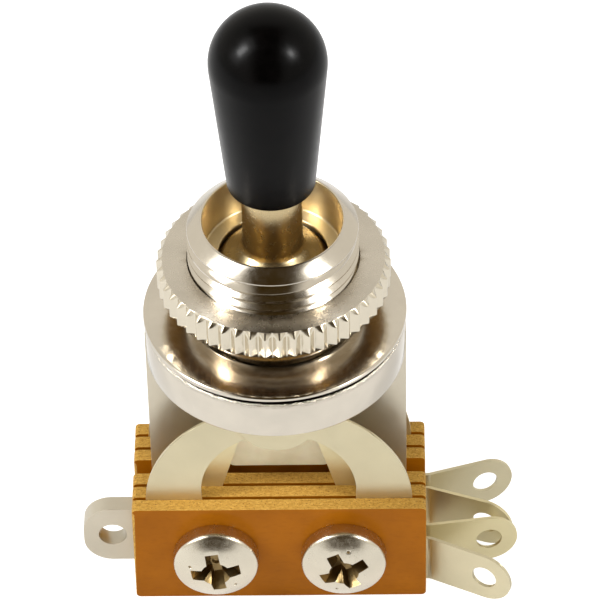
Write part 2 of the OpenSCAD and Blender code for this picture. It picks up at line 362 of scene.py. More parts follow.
def lathe_rings(metal, spread, ring_mm, depth_mm, bored=False):
    """Adds the rings of a face or a bore turned about Z, and the gloss across them."""
    if bored:
        across = metal.node("ShaderNodeCombineXYZ", {"Z": 1.0}).outputs["Vector"]
        way = metal.height()
    else:
        flat, way = metal.off_axis()
        across = metal.node("ShaderNodeVectorMath", {0: flat}, operation="NORMALIZE"
                            ).outputs["Vector"]
    metal.shader.inputs["Anisotropic"].default_value = spread
    metal.to("Tangent", across)
    rings = metal.node("ShaderNodeTexNoise", {
        "W": metal.sums("MULTIPLY", way, 1 / (ring_mm * MM)), "Scale": 1.0, "Detail": 3.0},
        noise_dimensions="1D").outputs["Fac"]
    metal.to("Normal", metal.bump(rings, depth_mm, under=metal.now("Normal")))
    return metal


def burred_edge(metal, radius_from, low, high, grain_mm=0.16, depth_mm=0.12):
    """Adds the fine burrs that a turning tool leaves along one edge about Z."""
    _, radius = metal.off_axis()
    height = metal.height()
    there = metal.sums("MULTIPLY", metal.sums("GREATER_THAN", radius, radius_from * MM),
                       metal.sums("MULTIPLY", metal.sums("GREATER_THAN", height, low * MM),
                                  metal.sums("LESS_THAN", height, high * MM)))
    burrs = metal.sums("MULTIPLY", metal.noise(grain_mm, detail=2.0), there)
    metal.to("Normal", metal.bump(burrs, depth_mm, under=metal.now("Normal")))
    return metal


nickel = rgb(212, 204, 190)
smooth = {"peel_depth": 0.0, "scratch": 0.0004}
bushing_finish = burred_edge(
    plated("bushing_nickel", nickel, rough=(0.10, 0.2), peel_depth=0.0015),
    radius_from=8.95, low=-0.32, high=-0.02)
bore_finish = lathe_rings(
    plated("bore_warm_nickel", rgb(202, 184, 146), rough=(0.28, 0.36), peel_depth=0.0),
    spread=0.9, ring_mm=0.15, depth_mm=0.001, bored=True)
nut_finish = lathe_rings(
    plated("nut_turned_nickel", nickel, rough=(0.25, 0.31), **smooth),
    spread=0.95, ring_mm=0.12, depth_mm=0.0004)
# the nut's underside is painted a darker brown: painted shade under the nut, which the washer
# mirrors
underside_shade_finish = plated("nut_underside_painted_shade", rgb(142, 112, 64), rough=(0.2, 0.3))
washer_finish = lathe_rings(
    plated("washer_turned_nickel", nickel, rough=(0.13, 0.20), **smooth),
    spread=0.7, ring_mm=0.14, depth_mm=0.0004)
knurl_finish = plated("knurl_nickel", rgb(218, 209, 190), rough=(0.16, 0.28))
lever_finish = plated("lever_nickel", rgb(204, 184, 142), rough=(0.2, 0.3))
frame_finish = plated("frame_zinc", rgb(208, 200, 182), rough=(0.3, 0.44), cloud_mm=5.0,
                      metallic=0.85)
leaf_finish = plated("leaf_spring_metal", rgb(210, 200, 168), rough=(0.32, 0.46),
                     cloud_mm=4.0, metallic=0.85)
fork_finish = plated("forked_spring_metal", rgb(222, 210, 168), rough=(0.28, 0.4),
                     metallic=0.8)
screw_finish = plated("screw_nickel", rgb(214, 206, 188), rough=(0.18, 0.3))
# the cross recess gets a darker brown nickel colour, which is painted shade in the recess; its
# coarser pebble is real
recess_shade_finish = plated("screw_recess_painted_shade", rgb(150, 128, 88), rough=(0.26, 0.4),
                       peel_mm=0.25, peel_depth=0.012)
hex_finish = plated("hex_nut_zinc", rgb(208, 204, 196), rough=(0.2, 0.34))
pin_finish = plated("pin_steel", rgb(150, 145, 138), rough=(0.25, 0.4))
silver_finish = plated("silver_contact", rgb(232, 228, 218), rough=(0.2, 0.35), peel_mm=0.2)
print("metals:", len(bpy.data.materials))

# %% [markdown]
# The knob is moulded black plastic with a faint satin gloss: the shader's specular
# level is low, so little more than the lamps shows in it. The actuator is pale nylon,
# which light enters a little. The boards are paper and resin: glossy brown skins,
# and torn edges where the golden fibres show with dark specks between them. The
# seam under the washer's rim is coloured near black, as painted shade.

# %% Plastics and boards


def knob_plastic():
    plastic = Finish("knob_black_plastic", Specular_IOR_Level=0.08)
    faint = plastic.noise(1.2)
    plastic.to("Base Color", plastic.blend(plastic.between(faint, 0.0, 1.0),
                                           rgb(1, 1, 1), rgb(4, 3, 3)))
    plastic.to("Roughness", plastic.between(plastic.noise(0.6, detail=5.0), 0.2, 0.27))
    soft = plastic.bump(plastic.noise(2.5, detail=1.0), 0.012)
    plastic.to("Normal", plastic.bump(plastic.noise(0.15), 0.0006, under=soft))
    return plastic


def nylon():
    plastic = Finish("actuator_nylon", Subsurface_Weight=0.15, Subsurface_Scale=0.0008,
                     Specular_IOR_Level=0.45)
    faint = plastic.noise(1.5)
    plastic.to("Base Color", plastic.blend(plastic.between(faint, 0.0, 1.0),
                                           rgb(230, 222, 190), rgb(244, 238, 210)))
    plastic.to("Roughness", plastic.between(plastic.noise(0.5), 0.38, 0.5))
    plastic.to("Normal", plastic.bump(plastic.noise(0.2, detail=4.0), 0.004))
    return plastic


def board_skin():
    skin = Finish("board_resin_skin", Coat_Weight=0.12, Coat_Roughness=0.09,
                  Specular_IOR_Level=0.03)
    cloud = skin.between(skin.noise(4.0, detail=4.0), 0.0, 1.0)
    brown = skin.blend(cloud, rgb(146, 84, 6), rgb(164, 97, 10))
    paper = skin.noise(0.22, skin.stretched(0.4, 1.0, 1.0), detail=4.0)
    skin.to("Base Color", skin.blend(skin.between(paper, 0.0, 0.35, 0.5, 0.75),
                                     brown, rgb(132, 73, 5)))
    skin.to("Roughness", skin.between(skin.noise(0.8), 0.28, 0.42))
    skin.to("Normal", skin.bump(paper, 0.003))
    return skin


def board_edge():
    sawn = Finish("board_sawn_edge", Specular_IOR_Level=0.3)
    fibre = sawn.noise(0.16, sawn.stretched(0.45, 1.0, 0.6), detail=5.0, rough=0.7)
    gold = sawn.blend(sawn.between(fibre, 0.0, 1.0, 0.35, 0.65),
                      rgb(164, 118, 38), rgb(208, 164, 78))
    specks = sawn.noise(0.13, detail=3.0, rough=0.6)
    dark = sawn.between(specks, 0.0, 0.8, 0.57, 0.66)
    sawn.to("Base Color", sawn.blend(dark, gold, rgb(104, 62, 14)))
    sawn.to("Roughness", sawn.between(fibre, 0.6, 0.85))
    sawn.to("Normal", sawn.bump(fibre, 0.05))
    return sawn


def seam_painted_shade():
    # near-black colour for the faces under the washer's rim: painted shade in the seam
    shade_paint = Finish("painted_shade_in_seam", Specular_IOR_Level=0.1)
    mottle = shade_paint.noise(0.3, detail=4.0)
    shade_paint.to("Base Color", shade_paint.blend(shade_paint.between(mottle, 0.0, 1.0),
                                     rgb(8, 5, 3), rgb(26, 18, 10)))
    shade_paint.to("Roughness", shade_paint.between(mottle, 0.7, 0.9))
    shade_paint.to("Normal", shade_paint.bump(mottle, 0.01))
    return shade_paint


def fibre_sleeve():
    tube = Finish("sleeve_fibre", Specular_IOR_Level=0.3)
    grain = tube.noise(0.3, detail=4.0)
    tube.to("Base Color", tube.blend(tube.between(grain, 0.0, 1.0),
                                     rgb(176, 140, 92), rgb(202, 170, 122)))
    tube.to("Roughness", tube.between(grain, 0.55, 0.75))
    tube.to("Normal", tube.bump(grain, 0.01))
    return tube


knob_finish, nylon_finish = knob_plastic(), nylon()
skin_finish, edge_finish = board_skin(), board_edge()
sleeve_finish, seam_shade_finish = fibre_sleeve(), seam_painted_shade()
print("all finishes:", len(bpy.data.materials))

# %% [markdown]
# A thread is a ridge that winds round its core. The spin operator can step along the
# axis while it turns a small section, so it sweeps the whole helix at once. The ridge
# fades out at both ends, as a real thread does where the die starts and stops.

# %% Thread ridge


def thread_ridge(root_r, crest_r, pitch, start, end, sides=72):
    """A helical ridge about Z whose ends run out."""
    half, crest_half, sunk = pitch * 0.46, pitch * 0.07, 0.15
    bm = bmesh.new()
    section = [(root_r - sunk, -half), (root_r, -half), (crest_r, -crest_half),
               (crest_r, crest_half), (root_r, half), (root_r - sunk, half)]
    points = [bm.verts.new((r, 0, start + z)) for r, z in section]
    face = bm.faces.new(points)
    steps = round((end - start) / pitch * sides)
    bmesh.ops.spin(bm, geom=[face, *face.edges, *face.verts], cent=(0, 0, 0),
                   axis=(0, 0, 1), dvec=(0, 0, pitch / sides), angle=2 * pi * steps / sides,
                   steps=steps)
    for vert in bm.verts:
        out = Vector((vert.co.x, vert.co.y, 0))
        if out.length > root_r + 0.01:
            turn = atan2(vert.co.y, vert.co.x)
            level = min(vert.co.z - start + half, end + half - vert.co.z) / pitch
            radius = root_r + (out.length - root_r) * min(1.0, max(0.0, level))
            vert.co.xy = radius * cos(turn), radius * sin(turn)
    bmesh.ops.recalc_face_normals(bm, faces=bm.faces)
    return bm


# %% [markdown]
# The bushing is turned from one bar. Its outline is spun in full circle: flange,
# thread core, coned rim, open mouth, the lip that holds the ball down and the round
# socket below it. Two notches take the frame's tabs. The wall of the mouth is a
# surface of its own kind, so its faces get the bore's finish.

# %% Bushing
BARREL_R, THREAD_ROOT_R, MOUTH_R, LIP_R, SOCKET_R, PIVOT_Z = 6.0, 5.62, 4.9, 3.85, 4.7, 2.9
MOUTH_Z, THREAD_PITCH, RIM_DROP = 5.9, 0.8, 0.75
RIM_LAND, THREAD_FROM, THREAD_TO = 0.15, 0.55, 0.5
NOTCH_X, NOTCH_REACH, NOTCH_HW = 8.75, 0.55, 0.725
cone_foot, cone_r = barrel_top - RIM_DROP, BARREL_R - 0.02

socket_arc = [(SOCKET_R * cos(radians(a)), PIVOT_Z + SOCKET_R * sin(radians(a)))
              for a in (34, 26, 18, 9, 0)]
bushing_section = [
    (SOCKET_R, flange_bottom, 0.15), (flange_r, flange_bottom, 0.22), (flange_r, 0, 0.2),
    (THREAD_ROOT_R, 0, 0.1), (THREAD_ROOT_R, cone_foot - 0.35),
    (cone_r, cone_foot - 0.12, 0.05), (cone_r, cone_foot, 0.05),
    (MOUTH_R + RIM_LAND, barrel_top, 0.06), (MOUTH_R, barrel_top, 0.08),
    (MOUTH_R, MOUTH_Z, 0.15), (LIP_R, MOUTH_Z, 0.08), *socket_arc]
bushing_body = turned(bushing_section, turns=144)
notch_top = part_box("frame_plate")[1].z / MM + 0.05
notches = [block((side * NOTCH_X - NOTCH_REACH, -NOTCH_HW, flange_bottom - 1),
                 (side * NOTCH_X + NOTCH_REACH, NOTCH_HW, notch_top)) for side in (-1, 1)]
bushing_body = combined(bushing_body, notches, "DIFFERENCE")
ridge = thread_ridge(THREAD_ROOT_R, BARREL_R, THREAD_PITCH, THREAD_FROM,
                     cone_foot - THREAD_TO)
bushing = merged(bushing_body, ridge)
for face in bushing.faces:
    middle = face.calc_center_median()
    inside = middle.z > PIVOT_Z and middle.xy.length < MOUTH_R + 0.03
    face.material_index = 1 if inside else 0
finish_piece("bushing_turned", bushing, [bushing_finish.material, bore_finish.material],
             "base", "bushing_plated", ["bushing"])

# %% [markdown]
# The round nut has a straight knurl: fifty V grooves rolled into its rim. A circle
# with four points a tooth has every groove point pulled in, and its edge is then
# pulled up in steps, with the crests drawn in at the top and bottom steps for the
# turned chamfer. Its top shows lathe rings, and a browner underside is painted shade.

# %% Round nut
NUT_R, TEETH, GROOVE_DEPTH, NUT_CHAMFER, NUT_BORE_R = 8.2, 50, 0.42, 0.4, 6.05


def knurled_ring(radius, bore_r, low, high, chamfer, depth, teeth, crest=0.06, groove=0.04):
    """A ring about Z with V grooves in its rim. Crest and groove are parts of a tooth."""
    bm = bmesh.new()
    step = 2 * pi / teeth
    bmesh.ops.create_circle(bm, cap_ends=False, radius=1, segments=4 * teeth)
    rim = sorted(bm.verts, key=lambda v: atan2(v.co.y, v.co.x))
    levels = [(low, chamfer), (low + chamfer, 0), (high - chamfer, 0), (high, chamfer)]
    offsets = [-crest, crest, 0.5 - groove, 0.5 + groove]

    def shape(verts, z, drawn_in):
        for i, vert in enumerate(verts):
            tooth, place = divmod(i, 4)
            angle = (tooth + offsets[place]) * step
            depth_here = depth if place > 1 else drawn_in
            r = radius - max(depth_here, drawn_in)
            vert.co = (r * cos(angle), r * sin(angle), z)

    shape(rim, *levels[0])
    ring_edges = bm.edges[:]
    current = rim
    for level in levels[1:]:
        grown = bmesh.ops.extrude_edge_only(bm, edges=ring_edges)["geom"]
        ring_edges = [g for g in grown if isinstance(g, bmesh.types.BMEdge)
                      and all(v in grown for v in g.verts)]
        fresh = [g for g in grown if isinstance(g, bmesh.types.BMVert)]
        # each new point starts exactly on the one it grew from
        where = {tuple(round(c, 6) for c in v.co): v for v in fresh}
        current = [where[tuple(round(c, 6) for c in v.co)] for v in current]
        shape(current, *level)
    bores = []
    for z in (low, high):
        made = bmesh.ops.create_circle(bm, cap_ends=False, radius=bore_r, segments=96,
                                       matrix=Matrix.Translation((0, 0, z)))
        bores.append(list({e for v in made["verts"] for e in v.link_edges}))
    bottom = [e for e in bm.edges if e.is_boundary
              and all(abs(v.co.z - low) < 1e-5 for v in e.verts)]
    top = [e for e in bm.edges if e.is_boundary
           and all(abs(v.co.z - high) < 1e-5 for v in e.verts)]
    bmesh.ops.triangle_fill(bm, edges=bottom + bores[0], use_beauty=True, normal=(0, 0, 1))
    bmesh.ops.triangle_fill(bm, edges=top + bores[1], use_beauty=True, normal=(0, 0, 1))
    bmesh.ops.bridge_loops(bm, edges=bores[0] + bores[1])
    bmesh.ops.recalc_face_normals(bm, faces=bm.faces)
    return bm


nut = knurled_ring(NUT_R, NUT_BORE_R, nut_low.z, nut_high.z, NUT_CHAMFER, GROOVE_DEPTH, TEETH)
# downward faces get the darker brown underside colour, which is painted shade
for face in nut.faces:
    face.material_index = 0 if face.normal.z > 0.9 else 2 if face.normal.z < -0.9 else 1
finish_piece("round_nut_knurled", nut,
             [nut_finish.material, knurl_finish.material, underside_shade_finish.material],
             "base", "nut_plated", ["round_nut"], bevel=0.035, steps=2, limit=25)

# %% [markdown]
# The dress washer is a thin turned ring with a rounded rim. It is pressed slightly
# hollow, so its rim stands off the flange and a dark line runs between the two. The
# line is widest where the washer sits highest, at the front right.

# %% Dress washer
washer_r, washer_top = washer_high.x, washer_high.z
WASHER_BORE_R, RIM_FALL, RIM_FALL_W = 6.15, 0.14, 0.35
RIM_GAP, RIM_GAP_W, GAP_WIDEST = 0.42, 1.2, radians(-60)
washer_section = [
    (WASHER_BORE_R, 0, 0.1), (washer_r - RIM_GAP_W, 0), (washer_r - 0.12, RIM_GAP),
    (washer_r, RIM_GAP + 0.06), (washer_r, washer_top - RIM_FALL, 0.12),
    (washer_r - RIM_FALL_W, washer_top - RIM_FALL + 0.03, 0.3),
    (WASHER_BORE_R, washer_top, 0.12)]
washer = turned(washer_section, turns=144)
for vert in washer.verts:
    if 0.01 < vert.co.z < RIM_GAP + 0.08:
        turn = atan2(vert.co.y, vert.co.x) - GAP_WIDEST
        vert.co.z *= 0.6 + 0.4 * cos(turn)
# the faces under the rim, in the gap over the flange, get a near-black colour: painted shade in
# the seam
for face in washer.faces:
    middle = face.calc_center_median()
    under = face.normal.z < -0.5 and 0.005 < middle.z < RIM_GAP
    face.material_index = 2 if under else 0 if face.normal.z > 0.8 else 1
finish_piece("dress_washer_turned", washer,
             [washer_finish.material, bushing_finish.material, seam_shade_finish.material],
             "base", "washer_plated", ["dress_washer"])

# %% [markdown]
# The lever is a turned steel rod with a ball on it. The ball is cut flat underneath,
# and a thin stem below carries the nylon actuator.

# %% Lever
BALL_R, SHAFT_R, STEM_R, BALL_FLAT_Z = 4.6, 2.1, 1.2, 0.14
BALL_FROM, BALL_TO, BALL_STEPS = -36.9, 62.8, 12
ball_arc = []
for i in range(BALL_STEPS + 1):
    angle = radians(BALL_FROM + (BALL_TO - BALL_FROM) * i / BALL_STEPS)
    ball_arc.append((BALL_R * cos(angle), PIVOT_Z + BALL_R * sin(angle)))
lever_section = [(0, lever_low.z), (STEM_R, lever_low.z, 0.2), (STEM_R, BALL_FLAT_Z, 0.1),
                 *ball_arc[:-1], (SHAFT_R, ball_arc[-1][1], 0.3), (SHAFT_R, lever_high.z, 0.3),
                 (0, lever_high.z)]
finish_piece("lever_turned", turned(lever_section, turns=96), [lever_finish.material],
             "lever", "lever_plated", ["lever"])

# %% [markdown]
# The knob is moulded: a cone that widens upwards and meets a ball without a corner.
# The meeting point is where the cone's line touches the circle. Its underside is
# open for the shaft.

# %% Knob
KNOB_R, KNOB_FOOT_R, KNOB_STEPS, SOCKET_PART = 4.05, 3.1, 20, 0.7
knob_foot, knob_centre = knob_low.z, knob_high.z - KNOB_R
length = knob_centre - knob_foot
socket_top, socket_r = knob_foot + SOCKET_PART * length, SHAFT_R + 0.01
tangent = atan2(KNOB_FOOT_R, length) + (pi / 2 - atan2(KNOB_R, sqrt(
    KNOB_FOOT_R ** 2 + length ** 2 - KNOB_R ** 2)))
start_angle = tangent - pi / 2
dome = []
for i in range(KNOB_STEPS):
    angle = start_angle + (pi / 2 - start_angle) * i / KNOB_STEPS
    dome.append((KNOB_R * cos(angle), knob_centre + KNOB_R * sin(angle)))
knob_section = [(socket_r, knob_foot, 0.12), (KNOB_FOOT_R - 0.05, knob_foot, 0.3), *dome,
                (0, knob_high.z), (0, socket_top), (socket_r, socket_top)]
finish_piece("knob_moulded", turned(knob_section, turns=128, steps=4),
             [knob_finish.material], "lever", "knob_black", ["knob"])

# %% [markdown]
# The actuator is a nylon moulding pressed onto the lever's stem: a round hub, and a
# blade that widens downwards and pushes the leaves aside as the lever swings.

# %% Actuator
HUB_R, HUB_FOOT, BLADE_TOP = 1.8, -5.7, -5.3
BLADE_T, BLADE_BOTTOM_HW, BLADE_TOP_HW = 1.2, 3.71, 1.13
actuator_low, actuator_high = corners_mm("actuator")
blade_bottom, hub_top = actuator_low.z, actuator_high.z
blade = sheet([(-BLADE_TOP_HW, BLADE_TOP), (-BLADE_BOTTOM_HW, blade_bottom, 0.5),
               (BLADE_BOTTOM_HW, blade_bottom, 0.5), (BLADE_TOP_HW, BLADE_TOP)],
              -BLADE_T / 2, BLADE_T)
hub = rod(HUB_R, (0, 0, HUB_FOOT), (0, 0, hub_top))
stem_hole = rod(STEM_R, (0, 0, lever_low.z), (0, 0, hub_top + 1))
actuator = combined(combined(blade, [hub], "UNION"), [stem_hole], "DIFFERENCE")
finish_piece("actuator_moulded", actuator, [nylon_finish.material], "lever",
             "actuator_nylon", ["actuator"], bevel=0.12, steps=3)

# %% [markdown]
# The frame is one punched plate of steel: two legs beside a window that is open at
# the top, tabs that are staked into notches of the flange, and an ear on the left
# with an eyelet for the earth wire.

# %% Frame plate
WINDOW_HW, WINDOW_FOOT, TAB_W, LUG_HALF, LUG_ROUND = 4.6, 1.5, 1.0, 2.6, 2.08
LUG_DROP = 0.707  # part of the stack's height, down from its top
SCREW_X, SCREW_R, PLATE_HOLE_R = 4.65, 1.5, 2.25
lug_z = stack_top - LUG_DROP * (stack_top - stack_bottom)
screw_z = (stack_top + stack_bottom) / 2
frame_hw, frame_t = frame_high.x, frame_high.y - frame_low.y
tab_top, tab_in, leg_top = frame_high.z, frame_hw - TAB_W, flange_bottom
window_foot = stack_top - WINDOW_FOOT
EARTH_EYELET_X, EARTH_EYELET_R = -12.418, 1.03
plate_corners = [
    (-frame_hw, stack_bottom, 0.2), (frame_hw, stack_bottom, 0.2),
    (frame_hw, tab_top, 0.15), (tab_in, tab_top, 0.15), (tab_in, leg_top),
    (WINDOW_HW, leg_top, 0.15), (WINDOW_HW, window_foot, 0.8),
    (-WINDOW_HW, window_foot, 0.8), (-WINDOW_HW, leg_top, 0.15),
    (-tab_in, leg_top), (-tab_in, tab_top, 0.15), (-frame_hw, tab_top, 0.15),
    (-frame_hw, lug_z + LUG_HALF), (frame_low.x, lug_z + LUG_HALF, LUG_ROUND),
    (frame_low.x, lug_z - LUG_HALF, LUG_ROUND), (-frame_hw, lug_z - LUG_HALF)]
plate = sheet(plate_corners, -frame_t / 2, frame_t, steps=8)
punches = [rod(EARTH_EYELET_R, (EARTH_EYELET_X, -2, lug_z), (EARTH_EYELET_X, 2, lug_z))]
punches += [rod(PLATE_HOLE_R, (s * SCREW_X, -2, screw_z), (s * SCREW_X, 2, screw_z))
            for s in (-1, 1)]
finish_piece("frame_plate_punched", combined(plate, punches, "DIFFERENCE"),
             [frame_finish.material], "base", "frame_steel", ["frame_plate"],
             bevel=0.1, steps=3)

# %% [markdown]
# Six insulating boards are punched from the same strip. The skins are glossy resin
# and the edges are torn by the punch, so the two kinds of face get two finishes, and
# a bevel breaks the long edges at the ends, where the punch tears most.

# %% Boards
BOARDS = ["board_front", "board_front_mid", "board_front_inner",
          "board_rear_inner", "board_rear_mid", "board_rear"]
BOARD_CORNER_R, TORN_EDGE, OUTER_HOLE_R, INNER_HOLE_R = 0.35, 0.2, 1.58, 2.0


def at_an_end(edge, end_x):
    """True for an edge that lies in an end of a board and doesn't cross it."""
    first, second = (vert.co for vert in edge.verts)
    return (abs(abs(first.x) - end_x) < 1e-3 and abs(abs(second.x) - end_x) < 1e-3
            and abs(first.y - second.y) < 1e-3)


def board(node, hole_r):
    """One punched board with its two holes and its torn ends."""
    low, high = corners_mm(node)
    corners = [(low.x, low.z), (high.x, low.z), (high.x, high.z), (low.x, high.z)]
    slab = sheet([(x, z, BOARD_CORNER_R) for x, z in corners], low.y, high.y - low.y)
    holes = [rod(hole_r, (s * SCREW_X, low.y - 1, screw_z), (s * SCREW_X, high.y + 1, screw_z))
             for s in (-1, 1)]
    slab = combined(slab, holes, "DIFFERENCE")
    ends = [e for e in slab.edges if at_an_end(e, high.x)]
    bmesh.ops.bevel(slab, geom=ends, offset=TORN_EDGE, offset_type="OFFSET", segments=2,
                    profile=0.5, affect="EDGES", material=-1)
    bmesh.ops.recalc_face_normals(slab, faces=slab.faces)
    for face in slab.faces:
        face.material_index = 0 if abs(face.normal.y) > 0.95 else 1
    finish_piece(node + "_punched", slab, [skin_finish.material, edge_finish.material],
                 "base", "phenolic_board", [node], bevel=0.06, steps=2)


for name in BOARDS:
    board(name, OUTER_HOLE_R if name in ("board_front", "board_rear") else INNER_HOLE_R)

# %% [markdown]
# Four leaves carry the contacts. Each is punched from thin spring metal: a plate
# between two boards, a shape above them, and a solder lug beside them. The outer
# leaves rise in an arch with a round pad at its crown, and the inner ones in two
# horns on either side of the actuator. The lugs are bent apart so that four wires
# can be soldered.

# %% Leaf shapes
LEAF_T, ARCH_R, ARCH_Z, ARCH_IN_R, ARCH_IN_Z = 0.25, 9.65, -0.4, 5.6, 0.95
PAD_R, PAD_Z, PAD_TOP, FOOT_LAP = 2.8, 7.78, 8.76, 0.3
HORN = [(4.1, 0), (2.43, 6.0, 0.3), (5.3, 6.0, 0.4), (6.3, 5.0, 0.4)]
LEAF_FOOT, LUG_R, EYELET_R, BEND_X, LUG_REACH, BEND_R = 0.65, 2.095, 0.95, 10.95, 4.4, 0.9


def across(shape, radius, x, z, y, sides=96):
    """A disc as thick as a leaf, for joining, or a longer one for cutting."""
    extra = 0 if shape == "disc" else 1
    return rod(radius, (x, y - extra, z), (x, y + LEAF_T + extra, z), sides=sides)


def leaf_plate(y):
    """The clamped plate with its straight solder lug."""
    plate_low, plate_high = stack_bottom + LEAF_FOOT, stack_top - LEAF_FOOT
    reach = BEND_X + LUG_REACH
    lug = combined(block((0, y, lug_z - LUG_R), (reach, y + LEAF_T, lug_z + LUG_R)),
                   [across("disc", LUG_R, reach, lug_z, y)], "UNION")
    return combined(block((-ARCH_R, y, plate_low), (ARCH_R, y + LEAF_T, plate_high)),
                    [lug], "UNION")


def arch(y):
    """The arch and its crown pad, standing on the clamped plate."""
    whole = combined(across("disc", ARCH_R, 0, stack_top + ARCH_Z, y, 160),
                     [across("cut", ARCH_IN_R, 0, stack_top + ARCH_IN_Z, y, 128),
                      block((-20, y - 1, stack_top - 20), (20, y + 1, stack_top + ARCH_Z - 0.01)),
                      block((-ARCH_IN_R + 0.03, y - 1, stack_top - 1),
                            (ARCH_IN_R - 0.03, y + 1, stack_top + ARCH_IN_Z))],
                     "DIFFERENCE")
    feet = [block((min(s * ARCH_R, s * ARCH_IN_R), y, stack_top - LEAF_FOOT - FOOT_LAP),
                  (max(s * ARCH_R, s * ARCH_IN_R), y + LEAF_T, stack_top + ARCH_Z + 0.02))
            for s in (-1, 1)]
    pad = combined(across("disc", PAD_R, 0, stack_top + PAD_Z, y),
                   [block((-4, y - 1, stack_top + PAD_TOP), (4, y + 1, stack_top + 20))],
                   "DIFFERENCE")
    return combined(whole, [pad, *feet], "UNION")


def horns(y):
    """The two horns beside the actuator."""
    foot = stack_top - LEAF_FOOT - FOOT_LAP
    pair = [sheet([(s * x, stack_top + z, *corner) for x, z, *corner in HORN]
                  + [(s * HORN[-1][0], foot), (s * HORN[0][0], foot)], y, LEAF_T)
            for s in (-1, 1)]
    return combined(pair[0], [pair[1]], "UNION")


def bent_lug(bm, mid_y, turn):
    """Bends all that lies beyond the boards about a vertical line."""
    size = abs(turn)
    start = BEND_X - BEND_R * tan(size / 2)
    arc = BEND_R * size
    for i in range(7):
        bmesh.ops.bisect_plane(bm, geom=bm.verts[:] + bm.edges[:] + bm.faces[:],
                               plane_co=(start + arc * i / 6, 0, 0), plane_no=(1, 0, 0))
    way = 1 if turn > 0 else -1
    for vert in bm.verts:
        beyond = vert.co.x - start
        if beyond <= 0:
            continue
        angle = size * min(1.0, beyond / arc)
        straight = max(0.0, beyond - arc)
        off = (vert.co.y - mid_y) * way
        x = start + (BEND_R - off) * sin(angle) + straight * cos(angle)
        y = BEND_R - (BEND_R - off) * cos(angle) + straight * sin(angle)
        vert.co.x, vert.co.y = x, mid_y + way * y
    return bm


# %% [markdown]
# Each leaf is joined from its plate and its shape, punched, and then its lug is bent
# aside. The bend cuts the sheet into short steps first, so that it curves.

# %% Leaves
LEAVES = {"leaf_front_outer": (arch, -26, "arched_leaf", leaf_finish),
          "leaf_front_inner": (horns, 8, "forked_leaf", fork_finish),
          "leaf_rear_inner": (horns, -20, "forked_leaf", fork_finish),
          "leaf_rear_outer": (arch, 17.5, "arched_leaf", leaf_finish)}
LEAF_Y = {"leaf_front_outer": -3.375, "leaf_front_inner": -2.025,
          "leaf_rear_inner": 1.775, "leaf_rear_outer": 3.125}
for name, (shape, turn, slot, finish) in LEAVES.items():
    y = LEAF_Y[name]
    whole = combined(leaf_plate(y), [shape(y)], "UNION")
    holes = [across("cut", PLATE_HOLE_R, s * SCREW_X, screw_z, y, 48) for s in (-1, 1)]
    holes.append(across("cut", EYELET_R, BEND_X + LUG_REACH, lug_z, y, 48))
    whole = combined(whole, holes, "DIFFERENCE")
    bmesh.ops.remove_doubles(whole, verts=whole.verts, dist=1e-3)
    bent_lug(whole, y + LEAF_T / 2, radians(turn))
    finish_piece(name + "_punched", whole, [finish.material], "base", slot, [name],
                 bevel=0.05, steps=2)

# %% [markdown]
# Small silver rivets close each forked leaf against its arched leaf.

# %% Contacts
CONTACT_R, CONTACT_X, CONTACT_Z = 0.7, 4.9, 5.1
TO_Y = Matrix.Rotation(radians(-90), 4, "X")  # turns +Z to +Y
for name in ("contacts_front", "contacts_rear"):
    low, high = corners_mm(name)
    rivets = [placed(turned([(0, 0), (CONTACT_R, 0, 0.12), (CONTACT_R, high.y - low.y, 0.12),
                             (0, high.y - low.y)], turns=32), TO_Y,
                     Matrix.Translation((s * CONTACT_X, low.y, stack_top + CONTACT_Z)))
              for s in (-1, 1)]
    finish_piece(name + "_rivets", merged(*rivets), [silver_finish.material], "base",
                 "silver_contact", [name])

# %% [markdown]
# Two pan-head screws clamp the stack. The head is turned as a low dome, and the
# cross recess is cut with four tapered wings and a cone, as the cold-heading punch
# leaves it, with two small pits beside it. The free end of the thread shows behind
# the nuts.

# %% Clamp screws
HEAD_R, HEAD_H, HEAD_BALL_R, CROWN_R = 3.1, 2.2, 5.3, 3.1 - 0.25
RECESS_HALF, RECESS_W, RECESS_DEPTH, RECESS_MOUTH_R = 2.4, 1.2, 1.5, 1.25
NIB_R, NIB_OUT, NIB_UP = 0.14, 1.95, 1.86
screw_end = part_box("screw_left")[1].y / MM


def cross_recess(turn):
    """Four tapered wings and a cone, about Z with the mouth up at z = 0."""
    wings = []
    for quarter in (0, 90):
        wing = block((-RECESS_HALF, -RECESS_W / 2, -RECESS_DEPTH),
                     (RECESS_HALF, RECESS_W / 2, 0.6))
        deep = [v for v in wing.verts if v.co.z < -0.5]
        bmesh.ops.scale(wing, vec=(0.42, 0.55, 1), verts=deep)
        wings.append(placed(wing, Matrix.Rotation(radians(quarter + turn), 4, "Z")))
    cone = rod(0.2, (0, 0, -RECESS_DEPTH - 0.2), (0, 0, 0.2),
               end_radius=RECESS_MOUTH_R, sides=32)
    return combined(wings[0], [wings[1], cone], "UNION")


def head_section():
    """Half the section of the pan head, from its rim to its crown."""
    drop = HEAD_BALL_R - HEAD_H
    points = []
    for i in range(9):
        r = CROWN_R * (1 - i / 8)
        points.append((r, sqrt(HEAD_BALL_R ** 2 - r ** 2) - drop))
    return points


